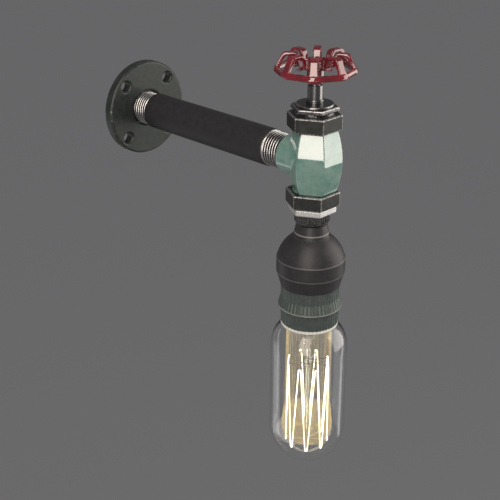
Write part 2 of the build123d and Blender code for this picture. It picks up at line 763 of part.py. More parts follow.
terminal_screw = rod(terminal_screw_r, plate_top, plate_top + terminal_screw_h)
terminal_screw += rod(terminal_shank_r, core_top - terminal_shank_l, plate_top)
save("terminal_screws", at_valve(Compound([place * terminal_screw for place in screw_places])))

# ================================================================ wires, each whole from end to end
lane_step = 360 / tube_wires
neutral_lane = polar_point(lane_centre_r, quarter_turn, 0)
lamp_lane = polar_point(lane_centre_r, quarter_turn + lane_step, 0)
earth_lane = polar_point(lane_centre_r, quarter_turn - lane_step, 0)
contact_end = switch_bottom - contact_drop


def valve_point(x, y, z):
    return (x, y - valve_reach, z)


live_route = [
    (contact_x, 0, -live_drop),
    valve_point(contact_x, 0, -live_drop),
    valve_point(contact_x, 0, contact_end),
]
save("live_wire", round_wire(live_route, wire_r, wire_bend_r))

lamp_route = [
    valve_point(-contact_x, 0, contact_end),
    valve_point(-contact_x, 0, -live_drop),
    valve_point(lamp_lane[0], lamp_lane[1], lane_start_z),
    valve_point(lamp_lane[0], lamp_lane[1], lane_end_z),
    valve_point(live_rivet_x, 0, wire_end_bend_z),
    valve_point(live_rivet_x, 0, plate_top),
]
save("lamp_wire", round_wire(lamp_route, wire_r, wire_bend_r))

neutral_route = [
    (0, 0, -neutral_drop),
    valve_point(0, neutral_lane[1], -neutral_drop),
    valve_point(0, neutral_lane[1], lane_end_z),
    valve_point(-live_rivet_x, 0, wire_end_bend_z),
    valve_point(-live_rivet_x, 0, plate_top),
]
save("neutral_wire", round_wire(neutral_route, wire_r, wire_bend_r))

earth_route = [
    (earth_side, 0, -earth_drop),
    valve_point(earth_side, earth_lane[1], -earth_drop),
    valve_point(earth_lane[0], earth_lane[1], lane_start_z),
    valve_point(earth_lane[0], earth_lane[1], earth_screw_z),
    valve_point(earth_lane[0], -earth_head_reach, earth_screw_z),
]
save("earth_wire", round_wire(earth_route, wire_r, earth_bend_r))

# ================================================================ bulb: glass, cap, insulator, tip


def glass_outline(inset):
    """Half outline of the bulb glass from the bottom pole to the neck, moved inwards by the inset."""
    outer_r = bulb_r - inset
    end_diagonal = outer_r * cos(radians(quarter_turn / 2))
    neck_r = bulb_neck_r - inset
    start_r = shoulder_start_r - inset
    return [
        ThreePointArc(
            (0, bulb_round_z - outer_r),
            (end_diagonal, bulb_round_z - end_diagonal),
            (outer_r, bulb_round_z),
        ),
        Line((outer_r, bulb_round_z), (outer_r, shoulder_end_z)),
        EllipticalCenterArc(
            (start_r, shoulder_end_z), bulb_r - shoulder_start_r, shoulder_h, arc_size=quarter_turn
        ),
        Polyline((start_r, shoulder_start_z), (neck_r, bulb_cap_bottom), (neck_r, bulb_neck_top)),
    ]


rims = [
    Line((bulb_neck_r, bulb_neck_top), (bulb_neck_r - bulb_wall, bulb_neck_top)),
    Line((0, bulb_round_z - bulb_r), (0, bulb_round_z - bulb_r + bulb_wall)),
]
glass_face = make_face(glass_outline(0) + glass_outline(bulb_wall) + rims)
save("bulb_glass", at_valve(revolve(Plane.XZ * glass_face, Axis.Z)))

cap_slope_z = bulb_cap_top - (bulb_cap_r - cap_cone_r) / 2
cap_inside_r = bulb_cap_r - bulb_cap_wall
bulb_cap = turned(
    (bulb_cap_r, bulb_cap_bottom),
    (bulb_cap_r, cap_slope_z),
    (cap_cone_r, bulb_cap_top),
    (cap_cone_r - bulb_cap_wall, bulb_cap_top - bulb_cap_wall),
    (cap_inside_r, cap_slope_z - bulb_cap_wall),
    (cap_inside_r, bulb_cap_bottom),
)
save("bulb_cap", at_valve(bulb_cap))

insulator = turned(
    (0, bulb_cap_top - bulb_cap_wall),
    (cap_cone_r - bulb_cap_wall, bulb_cap_top - bulb_cap_wall),
    (cap_cone_r - bulb_cap_wall, bulb_cap_top),
    (tip_r, cap_cone_top),
    (0, cap_cone_top),
)
save("cap_insulator", at_valve(insulator))

tip = rod(tip_r - bulb_cap_wall, cap_cone_top, tip_top)
save("cap_tip", at_valve(fillet(tip.edges().sort_by(Axis.Z)[-1], bulb_cap_wall * 2)))

# ================================================================ glass mount, leads, supports, filament
gap_turn = Rot(0, 0, cage_gap_turn)
neck_inner_r = bulb_neck_r - bulb_wall - slip
flare_bottom = bulb_neck_top - flare_h
mount_bore_r = mount_tube_r - flare_t
mount = turned(
    (neck_inner_r, bulb_neck_top),
    (neck_inner_r, bulb_neck_top - flare_t),
    (mount_tube_r, flare_bottom),
    (mount_tube_r, press_top),
    (mount_bore_r, press_top),
    (mount_bore_r, flare_bottom + flare_t),
    (neck_inner_r - flare_t, bulb_neck_top),
)
press = extrude(RectangleRounded(press_t, press_w, press_t / 2 - slip), press_bottom - press_top)
mount += Pos(0, 0, press_top) * press + rod(rod_r, lower_hook_z - rod_button_r, press_bottom)
for hook_z in (upper_hook_z, lower_hook_z):
    mount += Pos(0, 0, hook_z) * Sphere(rod_button_r)
step = 360 / cage_count
leads = []
for side in (-1, 1):
    lead_turn = side * step / 2
    hook = polar_point(cage_r - lead_bend_r * 2, lead_turn, upper_hook_z)
    hook_end = polar_point(cage_r + hook_tip, lead_turn, upper_hook_z)
    route = [(0, side * lead_offset, lead_top), (0, side * lead_offset, lead_bend_z), hook, hook_end]
    leads.append(gap_turn * round_wire(route, lead_r, lead_bend_r))
    mount -= Pos(0, side * lead_offset, 0) * rod(lead_r + slip, press_bottom, press_top)
save("glass_mount", at_valve(gap_turn * mount))
save("lead_wires", at_valve(Compound(leads)))

support = Rot(0, quarter_turn, 0) * rod(support_r, rod_button_r, cage_r + hook_tip)
upper = []
for number in range(1, cage_count - 1):
    upper.append(Rot(0, 0, (number + 0.5) * step) * Pos(0, 0, upper_hook_z) * support)
lower = []
for number in range(1, cage_count):
    lower.append(Rot(0, 0, number * step) * Pos(0, 0, lower_hook_z) * support)
save("upper_supports", at_valve(gap_turn * Compound(upper)))
save("lower_supports", at_valve(gap_turn * Compound(lower)))


def hook_bend(turn, hook_z, rise):
    """Three points of the filament's turn over one hook: before, on and after the support wire."""
    centre = Vector(*polar_point(cage_r, turn, hook_z))
    along = Vector(*polar_point(filament_bend_r, turn + quarter_turn, 0))
    return centre - along, centre + Vector(0, 0, rise), centre + along


bends = []
for number in range(cage_count):
    bends.append(hook_bend((number + 0.5) * step, upper_hook_z, filament_bend_r))
    if number < cage_count - 1:
        bends.append(hook_bend((number + 1) * step, lower_hook_z, -filament_bend_r))
pieces = []
for bend, after in zip(bends, bends[1:] + [None]):
    pieces.append(ThreePointArc(*bend))
    if after is not None:
        pieces.append(Line(bend[2], after[0]))
path = Wire(pieces)
section = Plane(origin=path @ 0, z_dir=path % 0) * RegularPolygon(filament_r, filament_sides)
filament = sweep(section, path=path)
save("filament", at_valve(gap_turn * filament))
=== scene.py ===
import json
import math

import bmesh
import bpy
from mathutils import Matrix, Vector


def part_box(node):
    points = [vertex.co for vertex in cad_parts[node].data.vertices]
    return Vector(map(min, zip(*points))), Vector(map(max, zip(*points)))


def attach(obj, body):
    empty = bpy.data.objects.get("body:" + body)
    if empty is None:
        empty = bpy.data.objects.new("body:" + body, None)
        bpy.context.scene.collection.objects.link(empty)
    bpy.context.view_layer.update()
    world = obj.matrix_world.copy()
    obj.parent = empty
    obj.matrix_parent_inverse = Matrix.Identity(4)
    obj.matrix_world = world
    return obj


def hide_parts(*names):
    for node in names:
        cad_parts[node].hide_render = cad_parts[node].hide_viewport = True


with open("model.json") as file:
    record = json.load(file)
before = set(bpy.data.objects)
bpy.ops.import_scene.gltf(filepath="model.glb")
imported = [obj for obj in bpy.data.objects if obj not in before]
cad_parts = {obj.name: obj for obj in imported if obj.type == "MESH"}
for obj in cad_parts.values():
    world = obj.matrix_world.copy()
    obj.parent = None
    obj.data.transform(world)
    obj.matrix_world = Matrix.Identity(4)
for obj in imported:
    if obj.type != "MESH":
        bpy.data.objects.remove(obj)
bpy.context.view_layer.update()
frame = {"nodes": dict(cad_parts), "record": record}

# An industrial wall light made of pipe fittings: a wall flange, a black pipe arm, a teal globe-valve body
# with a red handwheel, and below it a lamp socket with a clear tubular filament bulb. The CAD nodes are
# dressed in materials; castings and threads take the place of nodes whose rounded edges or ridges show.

nodes = frame["nodes"]
MM = 0.001

# ---- sizes and places in metres; what the CAD already settles is read from the frame

# the valve's axis, and the heights of the pale bands round the socket: worn steps on the cap that are
# partly painted highlights, and painted highlights on the lip and the rim
VALVE_Y = sum(point[1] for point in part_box("lamp_tube")) / 2
COLLAR_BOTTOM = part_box("lock_collar")[0][2]
CAP_STEP_Z = COLLAR_BOTTOM - 5.2 * MM
CAP_BAND_TOP = COLLAR_BOTTOM - 20.4 * MM
CAP_BAND_BOTTOM = CAP_BAND_TOP - 8.3 * MM
RIM_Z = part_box("socket_shell")[0][2]
LIP_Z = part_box("shade_ring")[0][2]

# the pipe arm: a black skin between two threaded ends
PIPE_SKIN_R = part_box("pipe_nipple")[1][0]
PIPE_THREAD_CREST = PIPE_SKIN_R - 0.65 * MM
PIPE_THREAD_DEPTH = 0.95 * MM
PIPE_PITCH = 1.814 * MM
PIPE_WALL = 2.75 * MM
PIPE_EDGE = 0.5 * MM
PIPE_EDGE_ROUNDNESS = 0.3
PIPE_SPANS = 24
WALL_THREAD_L = 13.8 * MM
BLACK_L = 99.9 * MM

# the screw that holds the bulb in its socket
LAMP_PITCH = 3.63 * MM
LAMP_THREAD_DEPTH = 0.95 * MM
LAMP_ROWS_PER_TURN = 14
THREAD_SEGMENTS = 96

# the painted glow in the bulb, an emitting shell that stands in for the filament's warm light reflected in
# the glass, from the socket's rim down to the filament's lower hooks
HOOKS_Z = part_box("lower_supports")[0][2]
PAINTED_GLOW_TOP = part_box("upper_supports")[1][2] + 28 * MM
PAINTED_GLOW_R = 13.4 * MM
PAINTED_GLOW_BELLY_R = 14.9 * MM
PAINTED_GLOW_BELLY_Z = HOOKS_Z + 12 * MM
PAINTED_GLOW_BELLY_H = 17 * MM
PAINTED_GLOW_END_Z = HOOKS_Z + 3 * MM
PAINTED_GLOW_POOL_Z = HOOKS_Z + 21 * MM
PAINTED_GLOW_END_SLIMMING = 0.45
PAINTED_GLOW_STEPS = 16
PAINTED_GLOW_SEGMENTS = 64


# ================================================================ small helpers for materials


def new_material(name):
    material = bpy.data.materials.new(name)
    material.use_nodes = True
    tree = material.node_tree
    shader = tree.nodes["Principled BSDF"]
    return material, tree, shader


def coordinates(tree, scale=(1, 1, 1)):
    """Object coordinates in metres, so that grain keeps its real size."""
    source = tree.nodes.new("ShaderNodeTexCoord")
    mapping = tree.nodes.new("ShaderNodeMapping")
    mapping.inputs["Scale"].default_value = scale
    tree.links.new(source.outputs["Object"], mapping.inputs["Vector"])
    return mapping.outputs["Vector"]


def noise(tree, grain_mm, detail=4.0, roughness=0.6, stretch=(1, 1, 1)):
    """Fractal noise whose largest blotches are about grain_mm across."""
    texture = tree.nodes.new("ShaderNodeTexNoise")
    texture.inputs["Scale"].default_value = 1 / (grain_mm * MM)
    texture.inputs["Detail"].default_value = detail
    texture.inputs["Roughness"].default_value = roughness
    tree.links.new(coordinates(tree, stretch), texture.inputs["Vector"])
    return texture.outputs["Fac"]


def ramp(tree, value, *stops):
    """Colour ramp; each stop is a place from 0 to 1 and a colour or grey value."""
    node = tree.nodes.new("ShaderNodeValToRGB")
    while len(node.color_ramp.elements) < len(stops):
        node.color_ramp.elements.new(0.5)
    for element, (place, colour) in zip(node.color_ramp.elements, stops):
        element.position = place
        grey = isinstance(colour, (int, float))
        element.color = (colour, colour, colour, 1) if grey else (*colour, 1)
    tree.links.new(value, node.inputs["Fac"])
    return node.outputs["Color"]


def mix(tree, factor, first, second):
    """Blend of two colours; the factor is a socket, the colours are sockets or tuples."""
    node = tree.nodes.new("ShaderNodeMix")
    node.data_type = "RGBA"
    colour_inputs = [socket for socket in node.inputs if socket.type == "RGBA"]
    tree.links.new(factor, node.inputs["Factor"])
    for socket, colour in zip(colour_inputs, (first, second)):
        if isinstance(colour, tuple):
            socket.default_value = (*colour, 1)
        else:
            tree.links.new(colour, socket)
    return next(socket for socket in node.outputs if socket.type == "RGBA")


def calculate(tree, operation, first, second=None, clamp=False):
    """Math node; each value is a socket or a number."""
    node = tree.nodes.new("ShaderNodeMath")
    node.operation = operation
    node.use_clamp = clamp
    for socket, value in zip(node.inputs, (first, second)):
        if value is None:
            continue
        if isinstance(value, (int, float)):
            socket.default_value = value
        else:
            tree.links.new(value, socket)
    return node.outputs["Value"]


def rounded_normal(tree, radius_mm):
    """The surface's normal as if its sharp edges had that radius."""
    bevel = tree.nodes.new("ShaderNodeBevel")
    bevel.samples = 6
    bevel.inputs["Radius"].default_value = radius_mm * MM
    return bevel.outputs["Normal"]


EDGE_CONTRAST = 9.0


def edge_mask(tree, width_mm):
    """1 on sharp edges within about width_mm, 0 on the faces between them."""
    geometry = tree.nodes.new("ShaderNodeNewGeometry")
    product = tree.nodes.new("ShaderNodeVectorMath")
    product.operation = "DOT_PRODUCT"
    tree.links.new(rounded_normal(tree, width_mm), product.inputs[0])
    tree.links.new(geometry.outputs["Normal"], product.inputs[1])
    apart = calculate(tree, "SUBTRACT", 1.0, product.outputs["Value"])
    return calculate(tree, "MULTIPLY", apart, EDGE_CONTRAST, clamp=True)


def ridge_mask(tree, start=0.52, full=0.60):
    """1 on the rounded ridges of a finely divided casting, 0 on flats and in hollows."""
    geometry = tree.nodes.new("ShaderNodeNewGeometry")
    return ramp(tree, geometry.outputs["Pointiness"], (start, 0.0), (full, 1.0))


def frame_height(tree):
    """Height in the frame, in metres."""
    source = tree.nodes.new("ShaderNodeTexCoord")
    split = tree.nodes.new("ShaderNodeSeparateXYZ")
    tree.links.new(source.outputs["Object"], split.inputs["Vector"])
    return split.outputs["Z"]


def pipe_radius(tree):
    """Distance from the pipe arm's axis, in metres."""
    source = tree.nodes.new("ShaderNodeTexCoord")
    across = tree.nodes.new("ShaderNodeVectorMath")
    across.operation = "MULTIPLY"
    across.inputs[1].default_value = (1, 0, 1)
    tree.links.new(source.outputs["Object"], across.inputs[0])
    length = tree.nodes.new("ShaderNodeVectorMath")
    length.operation = "LENGTH"
    tree.links.new(across.outputs["Vector"], length.inputs[0])
    return length.outputs["Value"]


def line_round(tree, middle, half):
    """1 on a line round the piece at that height, with slightly ragged sides."""
    wander = calculate(tree, "MULTIPLY", calculate(tree, "SUBTRACT", noise(tree, 1.5), 0.5), half)
    distance = calculate(tree, "ABSOLUTE", calculate(tree, "SUBTRACT", frame_height(tree), middle))
    return calculate(tree, "LESS_THAN", calculate(tree, "ADD", distance, wander), half)


def add_bump(tree, shader, relief, depth_mm, strength=1.0, soften_mm=0.0):
    """Bump from the relief, over edges rounded by soften_mm; gives the bumped normal."""
    bump = tree.nodes.new("ShaderNodeBump")
    bump.inputs["Strength"].default_value = strength
    bump.inputs["Distance"].default_value = depth_mm * MM
    tree.links.new(relief, bump.inputs["Height"])
    if soften_mm > 0:
        tree.links.new(rounded_normal(tree, soften_mm), bump.inputs["Normal"])
    tree.links.new(bump.outputs["Normal"], shader.inputs["Normal"])
    return bump.outputs["Normal"]


# ================================================================ materials


def worn_metal(
    name, base, patch, edge, roughness, metallic, wear_mm=0.5, wear=0.8, grain_mm=3.0, lines=(), ridges=None
):
    """Dark coated or cast metal: blotchy colour, pitted surface and edges worn to brighter metal.

    lines holds the middle, half height and strength of each pale line round the piece, a worn line that is
    partly a painted highlight where an edge catches the light; ridges, where given, are the two ends of
    ridge_mask for a finely divided casting."""
    material, tree, shader = new_material(name)
    blotches = noise(tree, grain_mm, 6.0)
    colour = mix(tree, ramp(tree, blotches, (0.38, 0.0), (0.68, 1.0)), base, patch)
    ragged = ramp(tree, noise(tree, 0.9, 5.0), (0.36, 0.0), (0.56, 1.0))
    edges = ridge_mask(tree, *ridges) if ridges else edge_mask(tree, wear_mm)
    bare = calculate(tree, "MULTIPLY", calculate(tree, "MULTIPLY", edges, ragged), wear, clamp=True)
    pale = bare
    # Pale bands round the piece: worn lines, partly painted highlights.
    for middle, half, strength in lines:
        line = calculate(tree, "MULTIPLY", line_round(tree, middle, half), strength)
        pale = calculate(tree, "MAXIMUM", pale, line)
    tree.links.new(mix(tree, pale, colour, edge), shader.inputs["Base Color"])
    low, high = roughness
    rough = ramp(tree, blotches, (0.3, low), (0.75, high))
    tree.links.new(rough, shader.inputs["Roughness"])
    metal = calculate(tree, "MULTIPLY", bare, 1.0 - metallic)
    metal = calculate(tree, "ADD", metal, metallic, clamp=True)
    tree.links.new(metal, shader.inputs["Metallic"])
    add_bump(tree, shader, noise(tree, 0.7, 5.0), 0.04, 0.4, soften_mm=0.0 if ridges else wear_mm * 0.7)
    return material


def glossy_enamel(name, base, shade, chip, gloss, wear, coat_ior, ripple):
    """Thick glossy enamel over a casting: slow ripples, darker patches and chipped ridges."""
    material, tree, shader = new_material(name)
    blotches = noise(tree, 7.0, 5.0)
    colour = mix(tree, ramp(tree, blotches, (0.40, 0.0), (0.66, 1.0)), base, shade)
    chips = ramp(tree, noise(tree, 0.8, 4.0), (0.54, 0.0), (0.64, 1.0))
    chipped = calculate(tree, "MULTIPLY", ridge_mask(tree), chips)
    chipped = calculate(tree, "MULTIPLY", chipped, wear, clamp=True)
    tree.links.new(mix(tree, chipped, colour, chip), shader.inputs["Base Color"])
    rough = ramp(tree, noise(tree, 2.0, 4.0), (0.3, gloss + 0.25), (0.8, gloss + 0.4))
    tree.links.new(rough, shader.inputs["Roughness"])
    shader.inputs["Specular IOR Level"].default_value = 0.05
    shader.inputs["Coat Weight"].default_value = 1.0
    shader.inputs["Coat Roughness"].default_value = gloss
    shader.inputs["Coat IOR"].default_value = coat_ior
    rippled = add_bump(tree, shader, noise(tree, 2.4, 2.0), 0.05, ripple)
    tree.links.new(rippled, shader.inputs["Coat Normal"])
    return material


def bright_metal(name, colour, dark, roughness, stretch=(1, 1, 1), grain_mm=1.2, pits=0.5):
    """Bare metal with fine scratches and dull spots."""
    material, tree, shader = new_material(name)
    spots = noise(tree, grain_mm, 6.0, stretch=stretch)
    spotted = mix(tree, ramp(tree, spots, (0.35, 0.0), (0.7, 1.0)), colour, dark)
    tree.links.new(spotted, shader.inputs["Base Color"])
    low, high = roughness
    tree.links.new(ramp(tree, spots, (0.3, low), (0.7, high)), shader.inputs["Roughness"])
    shader.inputs["Metallic"].default_value = 1.0
    add_bump(tree, shader, noise(tree, 0.5, 5.0, stretch=stretch), 0.02, pits, soften_mm=0.15)
    return material


def moulded(name, base, shade, roughness=0.45):
    """Moulded or glazed part, or wire insulation."""
    material, tree, shader = new_material(name)
    colour = mix(tree, ramp(tree, noise(tree, 4.0), (0.4, 0.0), (0.65, 1.0)), base, shade)
    tree.links.new(colour, shader.inputs["Base Color"])
    rough = ramp(tree, noise(tree, 1.0, 5.0), (0.3, roughness), (0.8, roughness + 0.15))
    tree.links.new(rough, shader.inputs["Roughness"])
    add_bump(tree, shader, noise(tree, 0.4, 4.0), 0.02, 0.3, soften_mm=0.2)
    return material


def clear_glass(name, tint=(1.0, 1.0, 1.0)):
    """Glass with a few faint smears."""
    material, tree, shader = new_material(name)
    shader.inputs["Base Color"].default_value = (*tint, 1)
    shader.inputs["Transmission Weight"].default_value = 1.0
    shader.inputs["IOR"].default_value = 1.47
    smears = ramp(tree, noise(tree, 12.0, 3.0), (0.35, 0.0), (0.8, 0.04))
    tree.links.new(smears, shader.inputs["Roughness"])
    return material


def screw_thread(name, crest, groove):
    """Bare steel thread of the pipe: bright on the crests, and darkened in the grooves by painted shade."""
    material, tree, shader = new_material(name)
    sunk = calculate(tree, "SUBTRACT", PIPE_THREAD_CREST, pipe_radius(tree))
    # 1 on the crests, falling to 0 in the grooves, where painted shade darkens the colour.
    unshaded_crest = ramp(tree, calculate(tree, "DIVIDE", sunk, PIPE_THREAD_DEPTH), (0.22, 1.0), (0.50, 0.0))
    spots = ramp(tree, noise(tree, 0.9, 4.0), (0.35, 0.8), (0.6, 1.0))
    unshaded_crest = calculate(tree, "MULTIPLY", unshaded_crest, spots)
    tree.links.new(mix(tree, unshaded_crest, groove, crest), shader.inputs["Base Color"])
    tree.links.new(ramp(tree, unshaded_crest, (0.0, 0.6), (1.0, 0.28)), shader.inputs["Roughness"])
    shader.inputs["Metallic"].default_value = 1.0
    add_bump(tree, shader, noise(tree, 0.4, 3.0), 0.01, 0.3)
    return material


def painted_glow(name, colour, centre, rim, pool):
    """Painted glow for the filament's warm light reflected in the bulb: a share at its centre, a painted
    sheen at its rim, and a painted pool of light low down.
    """
    material, tree, shader = new_material(name)
    tree.nodes.remove(shader)
    facing = tree.nodes.new("ShaderNodeLayerWeight")
    facing.inputs["Blend"].default_value = 0.5
    between = 0.5 * (centre + rim)
    amount = ramp(tree, facing.outputs["Facing"], (0.35, centre), (0.75, between), (0.95, rim))
    streaks = ramp(tree, noise(tree, 2.4, 3.0, stretch=(1, 1, 0.05)), (0.44, 0.12), (0.56, 1.0))
    amount = calculate(tree, "MULTIPLY", amount, streaks)
    waves = calculate(tree, "MULTIPLY", calculate(tree, "SUBTRACT", noise(tree, 9.0, 1.0), 0.5), 12 * MM)
    below = calculate(tree, "SUBTRACT", calculate(tree, "ADD", waves, PAINTED_GLOW_POOL_Z), frame_height(tree))
    depth = calculate(tree, "DIVIDE", below, 1.5 * MM, clamp=True)
    amount = calculate(tree, "MAXIMUM", amount, calculate(tree, "MULTIPLY", depth, pool))
    clear = tree.nodes.new("ShaderNodeBsdfTransparent")
    glow = tree.nodes.new("ShaderNodeEmission")
    glow.inputs["Color"].default_value = (*colour, 1)
    blend = tree.nodes.new("ShaderNodeMixShader")
    tree.links.new(amount, blend.inputs["Fac"])
    tree.links.new(clear.outputs["BSDF"], blend.inputs[1])
    tree.links.new(glow.outputs["Emission"], blend.inputs[2])
    tree.links.new(blend.outputs["Shader"], tree.nodes["Material Output"].inputs["Surface"])
    return material


def glowing_wire(name, cooler, hotter, strength):
    """Lit filament, a little brighter and paler in places."""
    material, tree, shader = new_material(name)
    heat = ramp(tree, noise(tree, 6.0, 3.0), (0.3, cooler), (0.7, hotter))
    tree.links.new(heat, shader.inputs["Base Color"])
    tree.links.new(heat, shader.inputs["Emission Color"])
    shader.inputs["Emission Strength"].default_value = strength
    return material


MATERIALS = {}


def add_material(name, make, **look):
    MATERIALS[name] = make(name, **look)


def fixture_metals():
    """The flange, the arm, the nuts and the other bare or blackened fittings."""
    add_material(
        "dark_cast_iron",
        worn_metal,
        base=(0.036, 0.042, 0.040),
        patch=(0.056, 0.066, 0.062),
        edge=(0.34, 0.38, 0.36),
        roughness=(0.34, 0.52),
        metallic=0.45,
        wear=0.7,
        ridges=(0.515, 0.56),
    )
    add_material(
        "black_pipe",
        worn_metal,
        base=(0.023, 0.022, 0.024),
        patch=(0.030, 0.028, 0.031),
        edge=(0.10, 0.10, 0.10),
        roughness=(0.50, 0.65),
        metallic=0.1,
        wear_mm=0.3,
        wear=0.4,
    )
    add_material(
        "dark_nut",
        worn_metal,
        base=(0.026, 0.029, 0.028),
        patch=(0.046, 0.050, 0.047),
        edge=(0.92, 0.92, 0.90),
        roughness=(0.36, 0.50),
        metallic=0.5,
        wear=1.0,
        ridges=(0.505, 0.535),
    )
    add_material(
        "bonnet_steel",
        worn_metal,
        base=(0.085, 0.083, 0.086),
        patch=(0.20, 0.198, 0.20),
        edge=(0.95, 0.95, 0.95),
        roughness=(0.24, 0.34),
        metallic=0.95,
        wear=1.0,
        grain_mm=0.9,
        ridges=(0.505, 0.535),
    )
    add_material(
        "gunmetal",
        bright_metal,
        colour=(0.30, 0.298, 0.302),
        dark=(0.22, 0.218, 0.222),
        roughness=(0.22, 0.30),
        stretch=(1, 1, 0.2),
        grain_mm=2.0,
        pits=0.05,
    )
    add_material(
        "collar_steel",
        worn_metal,
        base=(0.026, 0.025, 0.026),
        patch=(0.050, 0.048, 0.050),
        edge=(0.85, 0.85, 0.84),
        roughness=(0.26, 0.36),
        metallic=0.4,
        wear_mm=0.28,
        wear=1.0,
    )
    add_material(
        "bright_steel",
        bright_metal,
        colour=(0.52, 0.52, 0.52),
        dark=(0.30, 0.30, 0.30),
        roughness=(0.22, 0.40),
    )
    # The near-black groove colour is painted shade.
    add_material("cut_thread", screw_thread, crest=(0.86, 0.86, 0.85), groove=(0.02, 0.02, 0.021))
    add_material(
        "bushing_steel",
        bright_metal,
        colour=(0.97, 0.97, 0.96),
        dark=(0.60, 0.60, 0.60),
        roughness=(0.40, 0.56),
        grain_mm=0.7,
    )


def enamels():
    """The teal valve body and the red handwheel."""
    add_material(
        "teal_enamel",
        glossy_enamel,
        base=(0.21, 0.34, 0.29),
        shade=(0.10, 0.25, 0.20),
        chip=(0.36, 0.38, 0.33),
        gloss=0.05,
        wear=0.3,
        coat_ior=2.75,
        ripple=0.12,
    )
    add_material(
        "red_enamel",
        glossy_enamel,
        base=(0.22, 0.002, 0.012),
        shade=(0.11, 0.001, 0.006),
        chip=(0.25, 0.12, 0.11),
        gloss=0.04,
        wear=0.1,
        coat_ior=2.3,
        ripple=0.03,
    )


def socket_coats():
    """The black cap with its worn steps, pale partly as painted highlights, and the grey fluted shell with
    painted highlights round its rim and lip.
    """
    add_material(
        "satin_black",
        worn_metal,
        base=(0.030, 0.028, 0.031),
        patch=(0.038, 0.036, 0.040),
        edge=(0.24, 0.23, 0.23),
        roughness=(0.40, 0.50),
        metallic=0.1,
        wear_mm=0.35,
        wear=0.5,
        # Pale bands at the cap's step and band edges: worn steps, partly painted highlights where the edges
        # catch the light.
        lines=(
            (CAP_STEP_Z, 0.35 * MM, 0.9),
            (CAP_BAND_TOP, 0.26 * MM, 0.45),
            (CAP_BAND_BOTTOM, 0.26 * MM, 0.5),
        ),
    )
    add_material(
        "grey_shell",
        worn_metal,
        base=(0.070, 0.090, 0.084),
        patch=(0.095, 0.118, 0.110),
        edge=(0.96, 0.95, 0.90),
        roughness=(0.34, 0.44),
        metallic=0.3,
        wear_mm=0.25,
        wear=0.3,
        # Pale band at the rim: a painted highlight of the lit rim; faint band at the lip: a painted
        # highlight, partly worn metal.
        lines=((RIM_Z + 0.4 * MM, 1.2 * MM, 1.0), (LIP_Z + 0.5 * MM, 0.30 * MM, 0.30)),
    )


def inner_parts():
    """Packing, porcelain, contacts and insulation inside the valve and the socket."""
    add_material(
        "packing_graphite",
        moulded,
        base=(0.03, 0.03, 0.03),
        shade=(0.06, 0.06, 0.06),
        roughness=0.6,
    )
    add_material("black_phenolic", moulded, base=(0.02, 0.018, 0.018), shade=(0.035, 0.03, 0.03))
    add_material(
        "contact_brass",
        bright_metal,
        colour=(0.72, 0.50, 0.20),
        dark=(0.50, 0.34, 0.13),
        roughness=(0.20, 0.36),
    )
    add_material("porcelain", moulded, base=(0.80, 0.78, 0.72), shade=(0.70, 0.67, 0.60), roughness=0.16)
    insulation = {
        "brown_insulation": ((0.12, 0.05, 0.025), (0.09, 0.035, 0.02)),
        "blue_insulation": ((0.04, 0.10, 0.32), (0.03, 0.08, 0.25)),
        "green_insulation": ((0.10, 0.26, 0.05), (0.07, 0.20, 0.04)),
    }
    for name, (base, shade) in insulation.items():
        add_material(name, moulded, base=base, shade=shade, roughness=0.35)


def bulb_parts():
    """Glass, brass and wires of the bulb, and the painted glow in it."""
    add_material("clear_glass", clear_glass)
    add_material(
        "bulb_brass",
        bright_metal,
        colour=(0.75, 0.58, 0.30),
        dark=(0.55, 0.42, 0.20),
        roughness=(0.16, 0.30),
    )
    add_material(
        "black_glass",
        moulded,
        base=(0.012, 0.012, 0.014),
        shade=(0.02, 0.02, 0.022),
        roughness=0.10,
    )
    add_material(
        "solder",
        bright_metal,
        colour=(0.55, 0.55, 0.54),
        dark=(0.40, 0.40, 0.39),
        roughness=(0.30, 0.50),
    )
    add_material("mount_glass", clear_glass, tint=(0.93, 0.95, 0.93))
    add_material(
        "nickel_wire",
        bright_metal,
        colour=(0.62, 0.58, 0.50),
        dark=(0.45, 0.42, 0.36),
        roughness=(0.25, 0.40),
    )
    add_material(
        "glowing_filament",
        glowing_wire,
        cooler=(1.0, 0.93, 0.68),
        hotter=(1.0, 0.98, 0.80),
        strength=2.4,
    )
    # Painted glow: an emitting shell for the filament's warm light in the bulb, brightest at its rim and
    # low down.
    add_material(
        "filament_haze",
        painted_glow,
        colour=(0.85, 0.63, 0.28),
        centre=0.12,
        rim=0.80,
        pool=0.38,
    )


# Nodes that look different from the rest of their material slot.
OWN_LOOK = {"bonnet": "bonnet_steel", "outlet_bushing": "bushing_steel", "lock_collar": "collar_steel"}
SLOTS = {part["node"]: part["material_slot"] for part in frame["record"]["subparts"]}
SLOTS.update(OWN_LOOK)
BODY_OF = {node: body for body, names in frame["record"]["behaviour"]["bodies"].items() for node in names}


def dress_nodes():
    for name, piece in nodes.items():
        piece.data.materials.clear()
        piece.data.materials.append(MATERIALS[SLOTS[name]])


def stand_for(piece, *replaced):
    """The piece takes the place of these CAD nodes: their body, and the first one's material."""
    if not piece.data.materials:
        piece.data.materials.append(MATERIALS[SLOTS[replaced[0]]])
    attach(piece, BODY_OF[replaced[0]])
    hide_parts(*replaced)


def link_mesh(name, mesh):
    piece = bpy.data.objects.new(name, mesh)
    bpy.context.collection.objects.link(piece)
    return piece


# ================================================================ cast pieces with rounded edges


